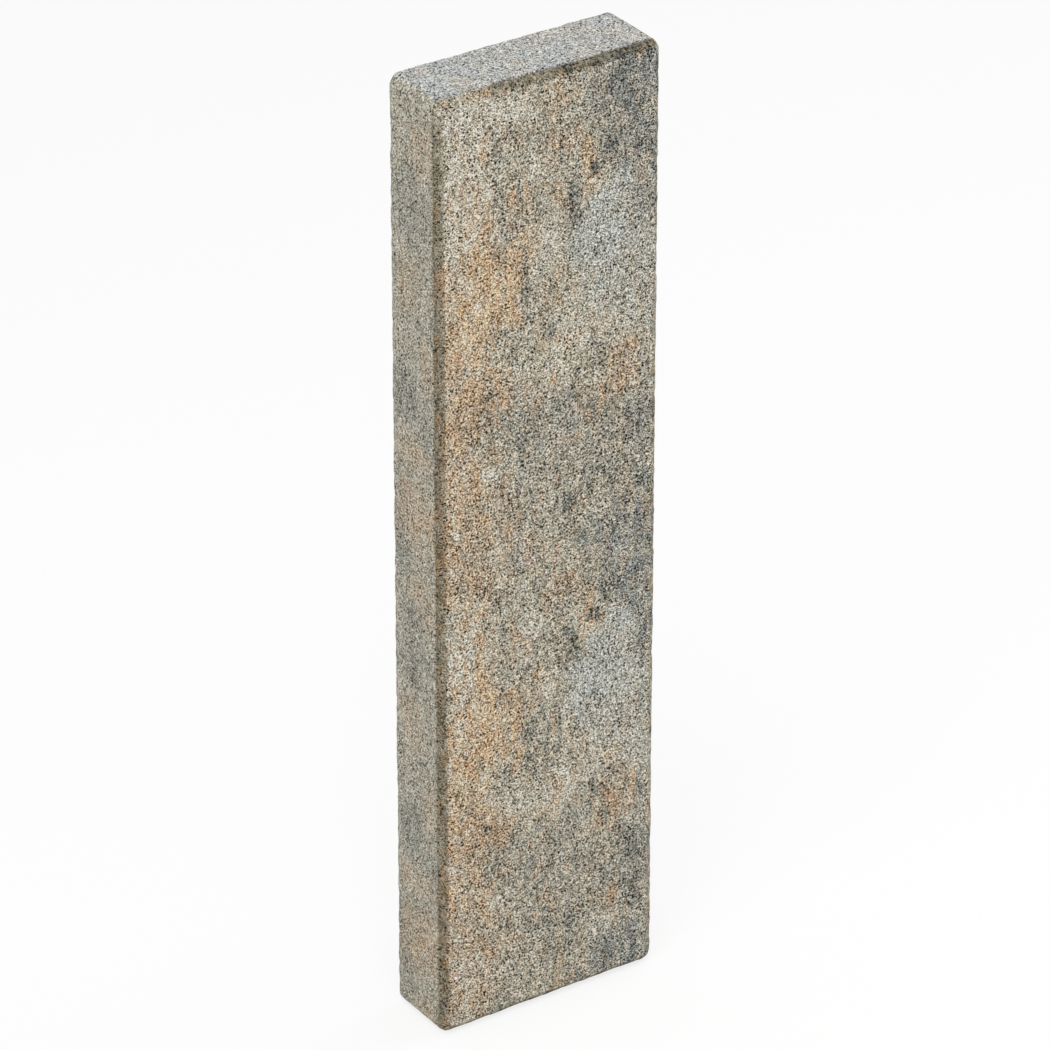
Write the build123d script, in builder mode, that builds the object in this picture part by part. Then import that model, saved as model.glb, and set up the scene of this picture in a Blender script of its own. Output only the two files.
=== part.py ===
from build123d import *
import os

# A concrete palisade: one cast slab that stands on its short end, with a bevel round its front face.
# Millimetres. X runs along the width, Y from front to back, Z up. The origin is under the slab's middle.

# Overall size
HEIGHT = 1000
WIDTH = 250
THICKNESS = 80

# Bevel round the front face: its reach across the face, and its reach back along the narrow sides
BEVEL_WIDTH = 7
BEVEL_DEPTH = 8

# Corner radius of the flat face inside the bevel
FACE_CORNER_RADIUS = 5

# The bevel keeps one width round the corners, so the outline's corners are larger by that width
OUTLINE_CORNER_RADIUS = FACE_CORNER_RADIUS + BEVEL_WIDTH

os.makedirs("parts", exist_ok=True)

# The back face's plane: it looks towards the front, from half the thickness behind the middle
back_plane = Plane(origin=(0, THICKNESS / 2, HEIGHT / 2), x_dir=(1, 0, 0), z_dir=(0, -1, 0))

# Palisade: the rounded outline is pulled forward from the back, then the rim of the front is bevelled
with BuildPart() as palisade:
    with BuildSketch(back_plane):
        RectangleRounded(WIDTH, HEIGHT, OUTLINE_CORNER_RADIUS)
    extrude(amount=THICKNESS)
    front_face = palisade.faces().sort_by(Axis.Y)[0]
    chamfer(front_face.edges(), length=BEVEL_WIDTH, length2=BEVEL_DEPTH, reference=front_face)

palisade.part.label = "palisade"
export_step(palisade.part, "parts/palisade.step")
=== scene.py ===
import math
from types import SimpleNamespace

import bmesh
import bpy
import numpy as np
from mathutils import Matrix, Vector


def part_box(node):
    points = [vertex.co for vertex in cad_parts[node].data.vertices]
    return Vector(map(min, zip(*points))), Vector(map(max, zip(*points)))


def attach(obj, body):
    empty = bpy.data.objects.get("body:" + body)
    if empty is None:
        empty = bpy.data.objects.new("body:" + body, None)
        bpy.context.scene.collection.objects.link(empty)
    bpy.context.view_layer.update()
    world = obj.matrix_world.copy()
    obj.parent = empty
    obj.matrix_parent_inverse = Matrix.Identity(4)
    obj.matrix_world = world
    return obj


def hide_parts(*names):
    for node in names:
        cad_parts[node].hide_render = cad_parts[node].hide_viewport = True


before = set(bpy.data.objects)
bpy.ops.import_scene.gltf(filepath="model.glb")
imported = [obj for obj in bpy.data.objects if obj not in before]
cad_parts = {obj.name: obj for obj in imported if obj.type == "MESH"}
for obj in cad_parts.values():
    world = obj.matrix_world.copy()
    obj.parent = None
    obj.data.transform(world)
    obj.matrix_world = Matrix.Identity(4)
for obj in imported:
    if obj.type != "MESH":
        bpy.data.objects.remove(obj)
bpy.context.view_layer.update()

MM = 0.001

# Sizes of the cast slab, in metres
slab_low, slab_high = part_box("palisade")
WIDTH = slab_high.x - slab_low.x
HEIGHT = slab_high.z - slab_low.z
BEVEL_WIDTH = 7 * MM
BEVEL_DEPTH = 8 * MM
CORNER_RADIUS = 12 * MM

# Small roundings that wear leaves on the moulded edges
FACE_ARRIS = 2.5 * MM
SIDE_ARRIS = 2.4 * MM
BACK_ARRIS = 2.2 * MM
ARRIS_STEPS = 3

# How much the edges crumble, from 0 for not at all to 1
FACE_WEAR = 0
BEVEL_WEAR = 0.2
ARRIS_WEAR = 1
BACK_ARRIS_WEAR = 0.4

# Relief that is pressed into the surface, in mm: how large its features are, and how deep
SWELL_SIZE = 70
SWELL_DEPTH = 0.35
GRIT_SIZE = 5.0
GRIT_DEPTH = 0.20
FRONT_ADDS_TO_GRIT = 0.25
PORE_SIZE = 7.0
PORE_DEPTH = 0.25
FRONT_ADDS_TO_PORES = 0.5
CHIP_SIZE = 14
CHIP_DEPTH = 0.6
CRUMB_SIZE = 9
CRUMB_DEPTH = 1.6
DEEPEST_RELIEF = 1.8

# Mesh density: cells along the outline's straight runs, round each corner and across the rim
CELLS_ACROSS = 94
CELLS_UP = 404
CELLS_ROUND_CORNER = 8
RIM_CELLS = 2
BEVEL_CELLS = 4
SIDE_CELLS = 24

# Camera at the photograph's viewing angle
CAMERA_AZIMUTH = math.radians(-34.07)
CAMERA_ELEVATION = math.radians(29.01)
CAMERA_DISTANCE = 6.155
CAMERA_LENS = 222.9
CAMERA_SIDESTEP = -2.0 * MM
CAMERA_LIFT = 10.5 * MM


def srgb(red, green, blue):
    """A colour as a screen shows it, 0 to 255, as the linear values that shaders take."""
    def linear(value):
        value /= 255
        return value / 12.92 if value <= 0.04045 else ((value + 0.055) / 1.055) ** 2.4
    return (linear(red), linear(green), linear(blue), 1.0)


# Pigments of the concrete
BEIGE = srgb(166, 159, 140)
OCHRE = srgb(188, 157, 122)
CHARCOAL = srgb(78, 80, 71)
SLATE = srgb(115, 118, 113)
PALE = srgb(168, 169, 160)
CREAM = srgb(196, 188, 170)
RUST = srgb(172, 122, 86)
BLUE_GREY = srgb(118, 126, 132)
TOP_TONE = srgb(162, 166, 167)
TOP_BLUSH = srgb(173, 170, 164)


# Smooth value noise on arrays of points, the same on every run.
# Its cells are counted from far below the slab, because the hash takes no negative numbers.
ABOVE_ZERO = 1000.0


def lattice(cells, seed):
    """A number from 0 to 1 for each whole-numbered cell, by a hash of 32 bits."""
    x, y, z = (cells[:, i].astype(np.int64).astype(np.uint64) for i in range(3))
    word = np.uint64(0xFFFFFFFF)
    h = (x * np.uint64(374761393) + y * np.uint64(668265263) + z * np.uint64(2147483647)) & word
    h = (h + np.uint64(seed * 7919 + 17)) & word
    for shift, factor in ((15, 739982445), (12, 695872825)):
        h = ((h ^ (h >> np.uint64(shift))) * np.uint64(factor)) & word
    return (h ^ (h >> np.uint64(15))).astype(float) / float(word)


def noise(points, size, seed):
    """Smooth noise from 0 to 1 with features about as large as size, which may differ by axis."""
    scaled = points / np.asarray(size, dtype=float) + ABOVE_ZERO
    cell = np.floor(scaled)
    part = scaled - cell
    part = part * part * (3 - 2 * part)
    total = np.zeros(len(points))
    for corner in np.ndindex(2, 2, 2):
        weight = np.prod(np.where(np.array(corner), part, 1 - part), axis=1)
        total += weight * lattice(cell + np.array(corner), seed)
    return total


def fractal(points, size, seed, octaves=3):
    """Noise of several sizes added, from 0 to 1 with its mean at a half."""
    size = np.asarray(size, dtype=float)
    shares = [0.5 ** k for k in range(octaves)]
    layers = [share * noise(points, size * share, seed + 31 * k) for k, share in enumerate(shares)]
    return sum(layers) / sum(shares)


def ease(low, high, values):
    """0 below low, 1 above high, and smooth between."""
    t = np.clip((values - low) / (high - low), 0, 1)
    return t * t * (3 - 2 * t)


# The slab's mesh

def fillet(before, corner, after, radius):
    """Points of the arc that rounds a corner of the section, from the first side to the second."""
    before, corner, after = (np.array(p) for p in (before, corner, after))
    first = (before - corner) / np.linalg.norm(before - corner)
    second = (after - corner) / np.linalg.norm(after - corner)
    half = math.acos(np.dot(first, second)) / 2
    middle = (first + second) / np.linalg.norm(first + second)
    centre = corner + middle * radius / math.sin(half)
    start = corner + first * radius / math.tan(half) - centre
    end = corner + second * radius / math.tan(half) - centre
    turn = math.pi - 2 * half
    points = []
    for k in range(ARRIS_STEPS + 1):
        t = k / ARRIS_STEPS
        spoke = (start * math.sin((1 - t) * turn) + end * math.sin(t * turn)) / math.sin(turn)
        points.append(centre + spoke)
    return points


def between(start, end, cells):
    """Points along a straight stretch, without its ends."""
    return [start + (end - start) * k / cells for k in range(1, cells)]


def section():
    """The rim's section, from the front face round the side to the back.
    Each point is its inset from the outline, its y and its wear."""
    front, back = slab_low.y, slab_high.y
    inner_front = np.array((CORNER_RADIUS, front))
    face_edge = np.array((BEVEL_WIDTH, front))
    side_edge = np.array((0.0, front + BEVEL_DEPTH))
    back_edge = np.array((0.0, back))
    inner_back = np.array((CORNER_RADIUS, back))
    face_arc = fillet(inner_front, face_edge, side_edge, FACE_ARRIS)
    side_arc = fillet(face_edge, side_edge, back_edge, SIDE_ARRIS)
    back_arc = fillet(side_edge, back_edge, inner_back, BACK_ARRIS)
    rim = between(inner_front, face_arc[0], RIM_CELLS)
    bevel = between(face_arc[-1], side_arc[0], BEVEL_CELLS)
    side = between(side_arc[-1], back_arc[0], SIDE_CELLS)
    stretches = (
        (rim, FACE_WEAR), (face_arc, ARRIS_WEAR), (bevel, BEVEL_WEAR),
        (side_arc, ARRIS_WEAR), (side, FACE_WEAR), (back_arc, BACK_ARRIS_WEAR),
    )
    return [(inset, y, wear) for stretch, wear in stretches for inset, y in stretch]


def outline(inset, y):
    """The slab's outline at depth y, drawn inwards by inset, anticlockwise as the front shows it."""
    half_x = WIDTH / 2 - CORNER_RADIUS
    half_z = HEIGHT / 2 - CORNER_RADIUS
    radius = CORNER_RADIUS - inset
    signs = ((-1, -1), (1, -1), (1, 1), (-1, 1))
    corners = [np.array((half_x * x, half_z * z)) for x, z in signs]
    points = []
    for side, cells in enumerate((CELLS_ACROSS, CELLS_UP, CELLS_ACROSS, CELLS_UP)):
        start, end = corners[side], corners[(side + 1) % 4]
        angle = math.pi / 2 * (side - 1)
        outward = np.array((math.cos(angle), math.sin(angle)))
        points += [start + (end - start) * k / cells + outward * radius for k in range(cells)]
        for k in range(CELLS_ROUND_CORNER):
            turn = angle + math.pi / 2 * k / CELLS_ROUND_CORNER
            points.append(end + radius * np.array((math.cos(turn), math.sin(turn))))
    return [(x, y, z + HEIGHT / 2) for x, z in points]


def add_cap(vertices, faces, y, across, up):
    """A flat grid between the corner circles' centres. Returns its border in the outline's order."""
    first = len(vertices)
    half_x = WIDTH / 2 - CORNER_RADIUS
    for k in range(up + 1):
        z = CORNER_RADIUS + (HEIGHT - 2 * CORNER_RADIUS) * k / up
        vertices += [(-half_x + 2 * half_x * i / across, y, z) for i in range(across + 1)]

    def at(i, k):
        return first + k * (across + 1) + i
    for k in range(up):
        faces += [(at(i, k), at(i + 1, k), at(i + 1, k + 1), at(i, k + 1)) for i in range(across)]
    bottom = [at(i, 0) for i in range(across)]
    right = [at(across, k) for k in range(up)]
    top = [at(across - i, up) for i in range(across)]
    left = [at(0, up - k) for k in range(up)]
    return bottom, right, top, left


def cap_ring(sides, corner_cells):
    """A cap's border with each corner vertex repeated, once for each cell of the outline's corner."""
    ring = []
    for side, following in zip(sides, sides[1:] + sides[:1]):
        ring += side + [following[0]] * corner_cells
    return ring


def add_strip(faces, ring, other):
    """Faces between two closed rows of as many vertices, as triangles where the other row stands still."""
    for a, b, c, d in zip(ring, ring[1:] + ring[:1], other[1:] + other[:1], other):
        faces.append((a, b, c) if c == d else (a, b, c, d))


def add_halving_strip(faces, ring, halved):
    """Faces from a closed row to one with every second of its vertices."""
    seconds, thirds = ring[1::2], ring[2::2] + ring[:1]
    for a, b, c, u, v in zip(ring[::2], seconds, thirds, halved, halved[1:] + halved[:1]):
        faces += [(a, b, u), (b, v, u), (b, c, v)]


def slab_mesh():
    """The closed slab: a fine front, rim and sides, and a back with half as many cells each way.
    Returned with the wear of each vertex, from 0 on the faces to 1 on the arrises."""
    vertices, faces = [], []
    sides = add_cap(vertices, faces, slab_low.y, CELLS_ACROSS, CELLS_UP)
    last = cap_ring(list(sides), CELLS_ROUND_CORNER)
    wear = [FACE_WEAR] * len(vertices)
    for inset, y, worn in section():
        ring = list(range(len(vertices), len(vertices) + len(last)))
        vertices += outline(inset, y)
        wear += [worn] * len(ring)
        add_strip(faces, ring, last)
        last = ring
    halved = list(range(len(vertices), len(vertices) + len(last) // 2))
    vertices += outline((BACK_ARRIS + CORNER_RADIUS) / 2, slab_high.y)[::2]
    add_halving_strip(faces, last, halved)
    sides = add_cap(vertices, faces, slab_high.y, CELLS_ACROSS // 2, CELLS_UP // 2)
    add_strip(faces, halved, cap_ring(list(sides), CELLS_ROUND_CORNER // 2))
    mesh = bpy.data.meshes.new("cast_concrete")
    mesh.from_pydata(vertices, [], faces)
    shape = bmesh.new()
    shape.from_mesh(mesh)
    bmesh.ops.recalc_face_normals(shape, faces=shape.faces)
    shape.to_mesh(mesh)
    shape.free()
    mesh.polygons.foreach_set("use_smooth", [True] * len(mesh.polygons))
    wear += [FACE_WEAR] * (len(vertices) - len(wear))
    return mesh, np.array(wear, dtype=float)


def read_points(mesh):
    """Places and outward normals of a mesh's vertices."""
    points = np.empty(len(mesh.vertices) * 3)
    normals = np.empty(len(mesh.vertices) * 3)
    mesh.vertices.foreach_get("co", points)
    mesh.vertex_normals.foreach_get("vector", normals)
    return points.reshape(-1, 3), normals.reshape(-1, 3)


# Where the pigments lie on the front: x, z, half width, half height in mm, and strength.
# The clouds of the facing mix come again lower down, one panel below the other.
PANEL_STEP = 470
PANELS = 3
OCHRE_CLOUDS = (
    (-88, 938, 16, 30, 0.38), (-90, 890, 20, 36, 0.48), (-86, 850, 24, 30, 0.65), (-85, 800, 34, 46, 0.90),
    (-62, 815, 16, 26, 0.85), (-92, 750, 26, 36, 0.80), (-42, 808, 10, 30, 0.75), (-26, 822, 8, 22, 0.60),
    (-12, 838, 7, 14, 0.50), (-45, 765, 14, 20, 0.55), (-42, 880, 5, 22, 0.50), (-26, 877, 5, 18, 0.50),
    (-1, 908, 7, 9, 0.60), (15, 930, 20, 16, 0.40), (45, 884, 8, 18, 0.90), (40, 912, 10, 14, 0.45),
    (-105, 715, 20, 30, 0.55), (-82, 688, 34, 30, 0.85), (-100, 660, 22, 26, 0.70),
    (-118, 600, 9, 80, 0.65), (-95, 600, 30, 36, 0.55), (-95, 535, 34, 44, 0.62), (-60, 560, 20, 30, 0.30),
    (78, 682, 18, 26, 0.70), (64, 655, 14, 14, 0.50), (35, 650, 8, 12, 0.25), (5, 690, 5, 16, 0.35),
    (-20, 690, 16, 10, 0.30), (60, 725, 14, 10, 0.25), (20, 720, 16, 12, 0.25),
)
CHARCOAL_CLOUDS = (
    (51, 891, 8, 7, 0.95), (66, 908, 11, 17, 0.50), (43, 927, 8, 8, 0.30), (24, 866, 7, 22, 0.60),
    (30, 842, 6, 14, 0.50), (17, 850, 8, 20, 0.28), (10, 928, 24, 22, 0.24), (-58, 938, 7, 15, 0.40),
    (-30, 812, 5, 16, 0.40), (-20, 772, 9, 34, 0.16), (-58, 832, 8, 14, 0.30), (-45, 855, 8, 20, 0.22),
    (-28, 783, 5, 12, 0.50), (-26, 752, 6, 7, 0.50), (-50, 745, 9, 4, 0.40), (-1, 735, 6, 6, 0.45),
    (-2, 757, 5, 8, 0.30), (52, 801, 3, 4, 0.50), (82, 775, 5, 6, 0.25), (-73, 687, 6, 8, 0.70),
    (-71, 668, 5, 8, 0.45), (-72, 650, 5, 6, 0.35), (60, 687, 5, 8, 0.50), (64, 659, 5, 9, 0.55),
    (-31, 634, 12, 14, 0.30), (88, 624, 7, 7, 0.45), (75, 606, 5, 6, 0.40), (-55, 580, 8, 8, 0.35),
    (22, 547, 8, 11, 0.50), (101, 548, 7, 8, 0.55), (-25, 570, 6, 10, 0.35), (48, 578, 8, 6, 0.30),
    (-72, 668, 30, 36, 0.30), (0, 600, 70, 60, 0.14), (75, 595, 36, 60, 0.24), (30, 540, 70, 35, 0.14),
    (-40, 640, 25, 30, 0.18), (-30, 860, 30, 50, 0.10), (-92, 540, 36, 50, 0.16), (68, 692, 20, 24, 0.26),
    (-85, 712, 24, 30, 0.10),
)
SLATE_CLOUDS = (
    (85, 962, 44, 34, 0.70), (98, 912, 22, 34, 0.70), (108, 858, 13, 36, 0.55), (70, 925, 14, 18, 0.55),
    (45, 978, 16, 12, 0.40), (101, 674, 8, 12, 0.50), (102, 610, 18, 40, 0.42), (101, 548, 10, 14, 0.40),
    (22, 547, 10, 14, 0.35), (0, 645, 44, 24, 0.22),
)
PALE_CLOUDS = (
    (80, 870, 15, 17, 0.90), (58, 852, 18, 17, 0.95), (40, 828, 18, 18, 0.95), (34, 806, 15, 20, 0.95),
    (62, 815, 30, 30, 0.95), (56, 780, 25, 28, 0.70), (86, 832, 17, 34, 0.55), (96, 785, 25, 40, 0.55),
    (102, 735, 20, 30, 0.45), (66, 758, 22, 26, 0.40),
)
CREAM_CLOUDS = (
    (-108, 940, 11, 40, 0.20), (-112, 880, 8, 45, 0.32), (-108, 825, 9, 26, 0.30), (-95, 905, 14, 40, 0.28),
    (-18, 900, 7, 12, 0.55), (-8, 880, 6, 8, 0.40), (-2, 828, 10, 18, 0.65), (6, 845, 6, 12, 0.55),
    (-66, 603, 9, 7, 0.90), (59, 538, 12, 14, 0.60), (-108, 553, 7, 6, 0.55), (10, 612, 10, 14, 0.25),
    (-10, 705, 36, 16, 0.35), (35, 725, 36, 20, 0.35), (-95, 845, 8, 10, 0.40), (55, 870, 12, 8, 0.20),
)
# Clouds that come only once, some of them on the bevel's upper run
ONLY_OCHRE_CLOUDS = (
    (-85, 488, 36, 18, 0.60), (-118, 510, 10, 24, 0.70), (70, 95, 8, 8, 0.70),
    (-80, 996, 16, 6, 0.50), (98, 994, 5, 8, 0.60),
)
ONLY_CHARCOAL_CLOUDS = (
    (-75, 484, 18, 9, 0.30), (-102, 492, 10, 8, 0.25), (-40, 492, 10, 10, 0.20),
    (-34, 995, 12, 6, 0.40), (22, 996, 14, 5, 0.30), (52, 995, 10, 6, 0.35), (80, 996, 14, 5, 0.30),
)
ONLY_SLATE_CLOUDS = ((90, 968, 36, 34, 0.85),)
ONLY_CREAM_CLOUDS = (
    (-95, 968, 32, 26, 0.58), (-45, 975, 34, 18, 0.40), (-105, 920, 16, 45, 0.56), (-112, 870, 9, 45, 0.45),
    (-88, 900, 20, 40, 0.52), (-22, 436, 12, 14, 0.85), (-92, 62, 26, 40, 0.28),
)

# The same for the narrow left side, with y from its middle in place of x
SIDE_OCHRE_CLOUDS = (
    (5, 625, 30, 14, 0.28), (0, 560, 36, 34, 0.34), (-5, 475, 20, 18, 0.25), (12, 800, 16, 30, 0.25),
    (-14, 940, 18, 26, 0.25), (-20, 720, 12, 24, 0.25),
)
SIDE_SLATE_CLOUDS = (
    (15, 685, 18, 28, 0.45), (2, 918, 14, 14, 0.40), (10, 880, 30, 34, 0.25), (28, 540, 14, 60, 0.30),
    (-22, 650, 10, 30, 0.25),
)
SIDE_CHARCOAL_CLOUDS = ((-5, 765, 5, 6, 0.35), (5, 850, 7, 18, 0.25), (20, 690, 6, 12, 0.20))

# The range over which noise moves the borders of the clouds, in mm
SWAY_SIDEWAYS = 10
SWAY_UPWARDS = 20

# How pale the sides and the back are, next to the front's pale clouds
PALE_BEHIND = 0.35

# How much of the ochre the bevel loses
BEVEL_OCHRE_LOSS = 0.75


def clouds(across, up, patches, panels=PANELS, core=0.1, rim=2.2):
    """How strongly a pigment shows at each point, from its patches and their repeats lower down.
    A patch is full up to its core and gone at its rim, both as squared shares of its half sizes."""
    total = np.zeros(len(across))
    for panel in range(panels):
        for x, z, half_width, half_height, strength in patches:
            far = ((across - x) / half_width) ** 2 + ((up - z + panel * PANEL_STEP) / half_height) ** 2
            total = np.maximum(total, strength * (1 - ease(core, rim, far)))
    return total


def inset_from_outline(points):
    """How far each point lies inside the slab's rounded outline, as the front shows it."""
    past_x = np.abs(points[:, 0]) - (WIDTH / 2 - CORNER_RADIUS)
    past_z = np.abs(points[:, 2] - HEIGHT / 2) - (HEIGHT / 2 - CORNER_RADIUS)
    beyond = np.hypot(np.maximum(past_x, 0), np.maximum(past_z, 0))
    return CORNER_RADIUS - beyond - np.minimum(np.maximum(past_x, past_z), 0)


def bevel_shade(mm, normals, inset, depth):
    """How dark the bevel is at each point, partly its own darker tone and partly painted shade: ragged at
    the face, fading behind the side's arris as a thin painted crease shadow, and weaker on the upper run's
    left part and on the right."""
    ragged = inset + 0.35 * (fractal(mm, 8, seed=3) - 0.5)
    on_slope = (1 - ease(0.75, 1.4, ragged)) * (1 - 0.25 * np.clip(inset, 0, 1))
    # Behind the side's arris the darkening fades out as a thin painted crease shadow
    shade = np.where(depth < 1, on_slope, np.exp(-((depth - 1) / 0.15) ** 2))
    upper = ease(470, 490, mm[:, 2] - HEIGHT / MM / 2)
    spared = 0.55 * upper * (1 - ease(-100, -40, mm[:, 0])) + 0.8 * ease(0.3, 0.6, normals[:, 0])
    return shade * (1 - np.clip(spared, 0, 1)) * (0.85 + 0.3 * fractal(mm, 14, seed=4))


def paint(mesh, points, normals):
    """Stores the pigments and the kind of surface at each vertex, for the material to read."""
    mm = points / MM
    sway = SWAY_SIDEWAYS * (fractal(mm, (16, 16, 26), seed=1) - 0.5)
    across = mm[:, 0] + sway
    inward = mm[:, 1] + sway
    up = mm[:, 2] + SWAY_UPWARDS * (fractal(mm, (12, 12, 26), seed=2) - 0.5)

    depth = (points[:, 1] - slab_low.y) / BEVEL_DEPTH
    inset = inset_from_outline(points) / BEVEL_WIDTH
    facing = 1 - ease(0.9, 1.2, depth)
    left = ease(0.5, 0.9, -normals[:, 0])
    top = ease(0.75, 0.95, normals[:, 2])
    # The bevel's darkening: partly its own darker tone, partly painted shade
    bevel = bevel_shade(mm, normals, inset, depth)

    def on_front(repeated, single):
        """The stronger of a pigment's repeated and single clouds, on the front and its bevel."""
        return np.maximum(clouds(across, up, repeated), clouds(across, up, single, panels=1)) * facing

    def on_left_side(patches):
        return clouds(inward, up, patches) * left

    ochre = on_front(OCHRE_CLOUDS, ONLY_OCHRE_CLOUDS) * (1 - BEVEL_OCHRE_LOSS * bevel)
    ochre += on_left_side(SIDE_OCHRE_CLOUDS)
    charcoal = on_front(CHARCOAL_CLOUDS, ONLY_CHARCOAL_CLOUDS) + on_left_side(SIDE_CHARCOAL_CLOUDS)
    slate = on_front(SLATE_CLOUDS, ONLY_SLATE_CLOUDS) + on_left_side(SIDE_SLATE_CLOUDS)
    pale = clouds(across, up, PALE_CLOUDS, core=0.3, rim=1.9) * facing + PALE_BEHIND * (1 - facing)
    cream = on_front(CREAM_CLOUDS, ONLY_CREAM_CLOUDS)

    pigments = np.column_stack((ochre, charcoal, slate, pale))
    surface = np.column_stack((cream, bevel, facing, top))
    for name, values in (("pigments", pigments), ("surface", surface)):
        layer = mesh.attributes.new(name, "FLOAT_COLOR", "POINT")
        layer.data.foreach_set("color", np.clip(values, 0, 1).astype(np.float32).ravel())


def roughen(mesh, points, normals, wear):
    """Presses swell, grit, pores and worn edges into the surface, and keeps the foot flat."""
    mm = points / MM
    front = ease(0.5, 0.9, -normals[:, 1])
    foot = ease(0.9, 0.99, -normals[:, 2])
    edge = ease(0.02, 0.2, 1 - np.max(np.abs(normals), axis=1))
    swell = fractal(mm, SWELL_SIZE, seed=11) * SWELL_DEPTH
    grit = noise(mm, GRIT_SIZE, seed=12) * (GRIT_DEPTH + FRONT_ADDS_TO_GRIT * front)
    pores = ease(0.72, 0.95, noise(mm, PORE_SIZE, seed=13)) * (PORE_DEPTH + FRONT_ADDS_TO_PORES * front)
    chips = edge * ease(0.45, 0.8, fractal(mm, CHIP_SIZE, seed=14)) * CHIP_DEPTH
    crumbs = wear * ease(0.3, 0.7, fractal(mm, CRUMB_SIZE, seed=15)) * CRUMB_DEPTH
    depth = np.minimum(swell + grit + pores + chips + crumbs, DEEPEST_RELIEF) * MM
    depth *= 1 - (1 - wear) * foot
    mesh.vertices.foreach_set("co", (points - normals * depth[:, None]).ravel())
    mesh.update()


# The concrete's shader

# Blotches within the pigments: noise on a shrunken height, so that they are taller than wide.
# Each step moves them to another place. Charcoal has smaller ones, as wide as tall.
BLOTCH_SHRINK = (1.0, 1.0, 0.45)
BLOTCH_STEP = (0.37, 0.11, 0.23)
BLOTCH_DETAIL = 0.8
CHARCOAL_SIZE = 4.0 * MM

# Single coloured stones, and the tone of the top
STONE_SPACING = 7.0 * MM
BLUSH_SIZE = 26.0 * MM
TOP_SHARE = 0.8

# Grain: its sizes, and by how much it lightens or darkens the colour, where 1 is from black to white
STIR_SIZE = 2.2 * MM
STIR_REACH = 0.7 * MM
GRAIN_SIZE = 1.5 * MM
GRAIN_CHANGE = 0.06
DUST_SIZE = 1.0 * MM
DARKEST_DUST = -0.54
LIGHTEST_DUST = 0.24
# Specks and pits are pores: their darkening is partly their own dark tone and partly painted shade in them
SPECK_SPACING = 1.8 * MM
SPECK_TONE_AND_SHADE = -0.72
PIT_SPACING = 3.6 * MM
PIT_TONE_AND_SHADE = -0.92
PEBBLE_SPACING = 9.0 * MM
PEBBLE_CHANGE = 0.10
MOTTLE_SIZE = 9.0 * MM
MOTTLE_CHANGE = 0.05
# The bevel's darkening, partly its own darker tone and partly painted shade
BEVEL_TONE_AND_SHADE = -0.228

# Lightening that makes up for the dark grains, and the limits of what comes out
FRONT_LIFT = 0.080
REST_LIFT = 0.043
DARKEST = 0.08
LIGHTEST = 0.92
SCREEN_GAMMA = 2.2

# Along the bevel's slope, each step in depth adds this much to the step sideways
BEVEL_STRETCH = (math.hypot(BEVEL_WIDTH, BEVEL_DEPTH) - BEVEL_WIDTH) / BEVEL_DEPTH


class Shader:
    """Adds nodes to a material's tree, so that each line of the recipe reads as one step."""

    def __init__(self, name):
        self.material = bpy.data.materials.new(name)
        self.material.use_nodes = True
        self.tree = self.material.node_tree
        self.tree.nodes.clear()

    def node(self, kind, inputs=None, **settings):
        """A new node with its settings made, and its inputs linked or filled in."""
        made = self.tree.nodes.new("ShaderNode" + kind)
        for name, value in settings.items():
            setattr(made, name, value)
        for name, value in (inputs or {}).items():
            if isinstance(value, bpy.types.NodeSocket):
                self.tree.links.new(value, made.inputs[name])
            else:
                made.inputs[name].default_value = value
        return made

    def math(self, operation, first, second=0.0, clamp=False):
        return self.node("Math", {0: first, 1: second}, operation=operation, use_clamp=clamp).outputs[0]

    def vector(self, operation, first, second, third=(0.0, 0.0, 0.0)):
        return self.node("VectorMath", {0: first, 1: second, 2: third}, operation=operation).outputs[0]

    def axes(self, vector):
        """A vector's x, y and z."""
        return self.node("SeparateXYZ", {"Vector": vector}).outputs

    def channels(self, color):
        """A colour's red, green and blue."""
        return self.node("SeparateColor", {"Color": color}).outputs

    def remap(self, value, low, high, to_low=0.0, to_high=1.0, smooth=False):
        """The value stretched from one range to another, and kept within it."""
        inputs = {"Value": value, "From Min": low, "From Max": high, "To Min": to_low, "To Max": to_high}
        kind = "SMOOTHSTEP" if smooth else "LINEAR"
        return self.node("MapRange", inputs, interpolation_type=kind).outputs["Result"]

    def mix(self, share, first, second):
        """The first colour or vector where the share is 0, and the second where it is 1."""
        return self.node("Mix", {0: share, 6: first, 7: second}, data_type="RGBA").outputs[2]

    def noise(self, place, size, detail=2.0):
        """Smooth noise from 0 to 1 with features about as large as size."""
        inputs = {"Vector": place, "Scale": 1 / size, "Detail": detail, "Roughness": 0.55}
        return self.node("TexNoise", inputs).outputs["Fac"]

    def cells(self, place, size, dimensions="3D"):
        """Cells about as large as size, with the distance from their middle and a colour of their own."""
        inputs = {"Vector": place, "Scale": 1 / size}
        return self.node("TexVoronoi", inputs, voronoi_dimensions=dimensions).outputs

    def spots(self, place, spacing, rim, core, bare, power=1.0):
        """Flat spots, one to a cell at most. Rim and core are shares of the spacing.
        Each cell draws a number from 0 to 1: below bare it has no spot, and a high power leaves few strong
        spots among many faint ones."""
        cells = self.cells(place, spacing, "2D")
        draw = self.channels(cells["Color"])[1]
        strength = self.math("POWER", self.remap(draw, bare, 1.0), power)
        return self.math("MULTIPLY", self.remap(cells["Distance"], rim, core), strength)


def read_paint(s):
    """What paint stored at the vertices, by name."""
    pigments = s.node("Attribute", attribute_name="pigments").outputs
    surface = s.node("Attribute", attribute_name="surface").outputs
    ochre, charcoal, slate = s.channels(pigments["Color"])
    # bevel holds the bevel's darkening, partly painted shade
    cream, bevel, front = s.channels(surface["Color"])
    return SimpleNamespace(
        ochre=ochre, charcoal=charcoal, slate=slate, pale=pigments["Alpha"],
        cream=cream, bevel=bevel, front=front, top=surface["Alpha"],
    )


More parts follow.
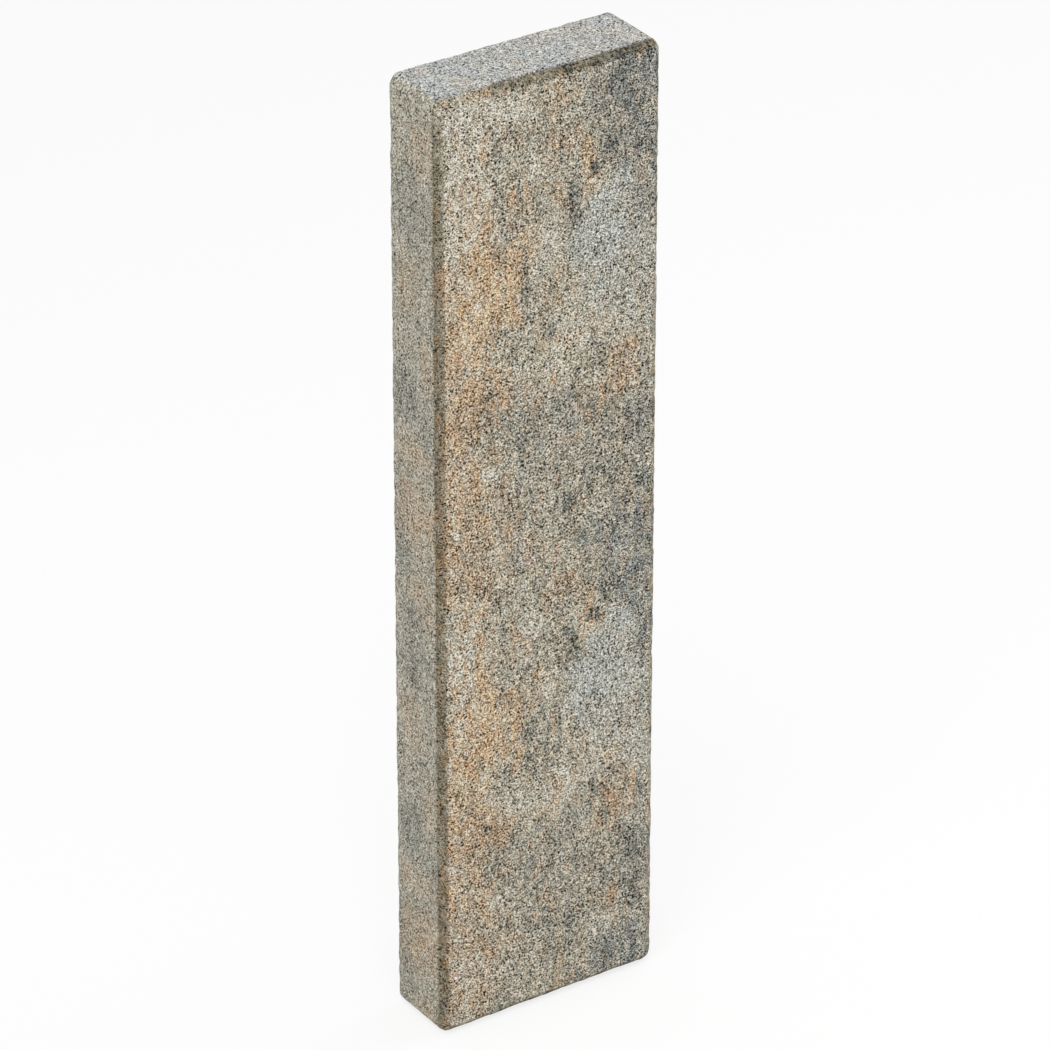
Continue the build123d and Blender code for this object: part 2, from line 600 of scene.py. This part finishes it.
def blotches(s, upright, number, size):
    """Blotches of the given size, at another place for each number."""
    moved = s.vector("ADD", upright, tuple(step * number for step in BLOTCH_STEP))
    return s.noise(moved, size, BLOTCH_DETAIL)


def pigment_color(s, place, upright, blotch, painted):
    """The colour before its grain: pigments in clouds and streaks, single stones and a greyer top."""
    def laid(weight, pattern, spread, streaks, where):
        """A pigment's share: its clouds, thick and thin by a pattern, and small streaks of it elsewhere."""
        cloud = s.math("MULTIPLY", weight, s.remap(pattern, 0.3, 0.7, 1 - spread, 1 + spread))
        streak = s.math("MULTIPLY", s.remap(pattern, 0.46, 0.74, 0, streaks, smooth=True), where)
        return s.math("ADD", cloud, streak, clamp=True)

    # Streaks keep mostly to the front, and away from the clouds that they would spoil
    exposed = s.remap(painted.front, 0, 1, 0.35, 1.0)
    off_grey = s.remap(s.math("ADD", painted.pale, painted.slate), 0, 1, 1.0, 0.1)
    off_light = s.remap(s.math("ADD", painted.pale, painted.ochre), 0, 1, 1.0, 0.25)
    warm = s.math("MULTIPLY", exposed, off_grey)
    plain = s.math("MULTIPLY", exposed, off_light)

    pale_share = s.math("MULTIPLY", painted.pale, s.remap(blotch, 0.3, 0.7, 1.4, 0.6), clamp=True)
    color = s.mix(pale_share, BEIGE, PALE)
    pattern = blotches(s, upright, 1, 7.5 * MM)
    color = s.mix(laid(painted.slate, pattern, spread=0.4, streaks=0.55, where=plain), color, SLATE)
    pattern = blotches(s, upright, 2, 8.0 * MM)
    color = s.mix(laid(painted.ochre, pattern, spread=0.5, streaks=0.50, where=warm), color, OCHRE)
    pattern = blotches(s, upright, 3, 6.5 * MM)
    color = s.mix(laid(painted.cream, pattern, spread=0.5, streaks=0.45, where=warm), color, CREAM)
    pattern = s.noise(place, CHARCOAL_SIZE, 1.0)
    color = s.mix(laid(painted.charcoal, pattern, spread=0.8, streaks=0.35, where=plain), color, CHARCOAL)

    # Single stones of rust and of blue-grey, then the top's own tone
    stones = s.cells(place, STONE_SPACING)
    near = s.remap(stones["Distance"], 0.40, 0.12)
    rust_draw, blue_draw, _ = s.channels(stones["Color"])
    color = s.mix(s.math("MULTIPLY", near, s.remap(rust_draw, 0.85, 1.0, 0, 0.5)), color, RUST)
    color = s.mix(s.math("MULTIPLY", near, s.remap(blue_draw, 0.75, 1.0, 0, 0.5)), color, BLUE_GREY)
    top_tone = s.mix(s.remap(s.noise(place, BLUSH_SIZE), 0.42, 0.62), TOP_TONE, TOP_BLUSH)
    return s.mix(s.math("MULTIPLY", painted.top, TOP_SHARE), color, top_tone)


def flat_place(s, place, normal):
    """The place on a flat sheet, so that grains keep their size on every face. Front and back share a sheet
    that runs on down the bevel, and the narrow sides and the two ends have their own."""
    x, y, z = s.axes(place)
    facing_x, facing_y, facing_z = (s.math("ABSOLUTE", facing) for facing in s.axes(normal))
    on_rim = s.math("LESS_THAN", facing_y, 0.5)
    on_end = s.math("GREATER_THAN", facing_z, facing_x)
    behind_front = s.math("MINIMUM", s.math("SUBTRACT", y, slab_low.y), BEVEL_DEPTH)
    slope = s.math("MULTIPLY", behind_front, BEVEL_STRETCH)

    def unrolled(value, middle):
        """A coordinate that counts on down the bevel's slope."""
        outward = s.math("SIGN", s.math("SUBTRACT", value, middle))
        return s.math("ADD", value, s.math("MULTIPLY", outward, slope))

    def sheet(first, second):
        return s.node("CombineXYZ", {"X": first, "Y": second}).outputs[0]

    face = sheet(unrolled(x, 0.0), unrolled(z, HEIGHT / 2))
    return s.mix(on_rim, face, s.mix(on_end, sheet(y, z), sheet(x, y)))


def concrete():
    """Sand-grained concrete: pigments, grains, pits and the bevel's darker tone, with painted shade in the
    pits and on the bevel, and relief to match.
    """
    s = Shader("concrete")
    coordinates = s.node("TexCoord").outputs
    place = coordinates["Object"]
    painted = read_paint(s)
    upright = s.vector("MULTIPLY", place, BLOTCH_SHRINK)
    blotch = blotches(s, upright, 0, 6.0 * MM)
    color = pigment_color(s, place, upright, blotch, painted)

    # Grains, dust, specks, pits and pebbles. A little stirring bends the straight borders of their cells.
    flat = flat_place(s, place, coordinates["Normal"])
    stir = s.node("TexNoise", {"Vector": place, "Scale": 1 / STIR_SIZE, "Detail": 1.0}).outputs["Color"]
    uneven = s.vector("MULTIPLY_ADD", stir, (STIR_REACH,) * 3, flat)
    grain = s.channels(s.cells(uneven, GRAIN_SIZE, "2D")["Color"])[0]
    dust = s.channels(s.cells(flat, DUST_SIZE, "2D")["Color"])[0]
    specks = s.spots(uneven, SPECK_SPACING, rim=0.38, core=0.15, bare=0.15, power=1.5)
    pits = s.spots(uneven, PIT_SPACING, rim=0.34, core=0.18, bare=0.30, power=2.0)
    pits = s.math("MULTIPLY", pits, s.remap(blotch, 0.40, 0.60, 0.3, 1.5))
    pits = s.math("MULTIPLY", pits, s.remap(painted.charcoal, 0, 0.4, 1.0, 1.6))
    pebbles = s.spots(flat, PEBBLE_SPACING, rim=0.28, core=0.16, bare=0.70)

    # How much they lighten or darken the colour, by as much in each channel, as the eye sees it
    mostly_light = s.math("SQRT", dust)
    change = s.math("ADD", s.remap(grain, 0, 1, -GRAIN_CHANGE, GRAIN_CHANGE),
                    s.remap(mostly_light, 0, 1, DARKEST_DUST, LIGHTEST_DUST))
    # Specks and pits darken with their own tone and painted shade in the pores; pebbles lighten
    for marks, strength in ((specks, SPECK_TONE_AND_SHADE), (pits, PIT_TONE_AND_SHADE), (pebbles, PEBBLE_CHANGE)):
        change = s.math("ADD", change, s.math("MULTIPLY", marks, strength))
    mottle = s.remap(s.noise(upright, MOTTLE_SIZE), 0.3, 0.7, -MOTTLE_CHANGE, MOTTLE_CHANGE)
    change = s.math("ADD", change, s.math("MULTIPLY", mottle, s.remap(painted.pale, 0, 1, 1.0, 0.4)))
    change = s.math("MULTIPLY", change, s.remap(painted.front, 0, 1, 0.80, 1.0))
    # On the bevel: less grain, and darkening that is partly its own tone and partly painted shade
    change = s.math("MULTIPLY", change, s.remap(painted.bevel, 0, 1, 1.0, 0.55))
    change = s.math("ADD", change, s.math("MULTIPLY", painted.bevel, BEVEL_TONE_AND_SHADE))
    change = s.math("ADD", change, s.remap(painted.front, 0, 1, REST_LIFT, FRONT_LIFT))
    seen = s.node("Gamma", {"Color": color, "Gamma": 1 / SCREEN_GAMMA}).outputs[0]
    seen = s.vector("ADD", seen, change)
    seen = s.vector("MAXIMUM", seen, (DARKEST,) * 3)
    seen = s.vector("MINIMUM", seen, (LIGHTEST,) * 3)
    color = s.node("Gamma", {"Color": seen, "Gamma": SCREEN_GAMMA}).outputs[0]

    height = s.math("ADD", s.math("MULTIPLY", grain, 0.35), s.math("MULTIPLY", dust, 0.25))
    height = s.math("SUBTRACT", height, s.math("MULTIPLY", s.math("ADD", specks, pits), 0.8))
    bump = s.node("Bump", {"Height": height, "Strength": 0.7, "Distance": 0.6 * MM})
    finish = s.node("BsdfPrincipled", {
        "Base Color": color,
        "Roughness": s.remap(grain, 0, 1, 0.82, 0.95),
        "Specular IOR Level": 0.3,
        "Normal": bump.outputs[0],
    })
    s.node("OutputMaterial", {"Surface": finish.outputs[0]})
    return s.material


def palisade():
    """The dressed slab, in place of the plain solid."""
    mesh, wear = slab_mesh()
    points, normals = read_points(mesh)
    paint(mesh, points, normals)
    roughen(mesh, points, normals, wear)
    mesh.materials.append(concrete())
    piece = bpy.data.objects.new("cast_palisade", mesh)
    bpy.context.scene.collection.objects.link(piece)
    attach(piece, "root")
    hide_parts("palisade")


# Studio: floor, light and camera, in metres and watts
FLOOR_SIZE = 60.0
FLOOR_COLOR = (0.93, 0.93, 0.93, 1.0)
FLOOR_GLOW = 0.78
SKY_STRENGTH = 0.62
LAMP_SIZE = 2.4
KEY_PLACE = Vector((-1.5, -1.4, 3.6))
KEY_POWER = 70
FILL_PLACE = Vector((2.6, -0.2, 3.0))
FILL_POWER = 30
SLAB_MIDDLE = Vector((0, 0, HEIGHT / 2))


def seen_directly(tree):
    """1 for what the camera sees, itself or in a reflection, and 0 for the light that falls on things."""
    path = tree.nodes.new("ShaderNodeLightPath")
    total = path.outputs["Is Camera Ray"]
    for name in ("Is Glossy Ray", "Is Transmission Ray"):
        either = tree.nodes.new("ShaderNodeMath")
        either.operation = "MAXIMUM"
        tree.links.new(total, either.inputs[0])
        tree.links.new(path.outputs[name], either.inputs[1])
        total = either.outputs[0]
    return total


def floor():
    """A white floor that still takes the slab's shadow."""
    half = FLOOR_SIZE / 2
    mesh = bpy.data.meshes.new("floor")
    corners = [(-half, -half, 0), (half, -half, 0), (half, half, 0), (-half, half, 0)]
    mesh.from_pydata(corners, [], [(0, 1, 2, 3)])
    s = Shader("floor")
    matte = s.node("BsdfDiffuse", {"Color": FLOOR_COLOR})
    glow = s.node("Emission", {"Color": (1, 1, 1, 1), "Strength": 1.0})
    share = s.math("MULTIPLY", seen_directly(s.tree), FLOOR_GLOW)
    mixed = s.node("MixShader", {0: share, 1: matte.outputs[0], 2: glow.outputs[0]})
    s.node("OutputMaterial", {"Surface": mixed.outputs[0]})
    mesh.materials.append(s.material)
    ground = bpy.data.objects.new("floor", mesh)
    bpy.context.scene.collection.objects.link(ground)


def sky():
    """Even white light from all round, and a white background."""
    world = bpy.data.worlds.new("studio")
    world.use_nodes = True
    tree = world.node_tree
    background = tree.nodes["Background"]
    background.inputs["Color"].default_value = (1, 1, 1, 1)
    strength = tree.nodes.new("ShaderNodeMapRange")
    strength.inputs["To Min"].default_value = SKY_STRENGTH
    strength.inputs["To Max"].default_value = 1.0
    tree.links.new(seen_directly(tree), strength.inputs["Value"])
    tree.links.new(strength.outputs["Result"], background.inputs["Strength"])
    bpy.context.scene.world = world


def lamp(name, place, power):
    """A soft square lamp that looks at the slab's middle."""
    light = bpy.data.lights.new(name, "AREA")
    light.shape = "SQUARE"
    light.size = LAMP_SIZE
    light.energy = power
    made = bpy.data.objects.new(name, light)
    made.location = place
    made.rotation_euler = (SLAB_MIDDLE - place).to_track_quat("-Z", "Y").to_euler()
    made.visible_camera = False
    bpy.context.scene.collection.objects.link(made)


def camera():
    """A long lens at the photograph's angle, a little off the slab's middle."""
    azimuth, elevation = CAMERA_AZIMUTH, CAMERA_ELEVATION
    back = Vector((
        math.sin(azimuth) * math.cos(elevation),
        -math.cos(azimuth) * math.cos(elevation),
        math.sin(elevation),
    ))
    right = Vector((math.cos(azimuth), math.sin(azimuth), 0))
    up = back.cross(right)
    eye = bpy.data.cameras.new("camera")
    eye.lens = CAMERA_LENS
    eye.clip_end = 100
    made = bpy.data.objects.new("camera", eye)
    turn = Matrix((right, up, back)).transposed().to_4x4()
    place = SLAB_MIDDLE + right * CAMERA_SIDESTEP + up * CAMERA_LIFT + back * CAMERA_DISTANCE
    made.matrix_world = Matrix.Translation(place) @ turn
    bpy.context.scene.collection.objects.link(made)
    bpy.context.scene.camera = made


bpy.context.scene.view_settings.view_transform = "Standard"
palisade()
floor()
sky()
lamp("key", KEY_PLACE, KEY_POWER)
lamp("fill", FILL_PLACE, FILL_POWER)
camera()
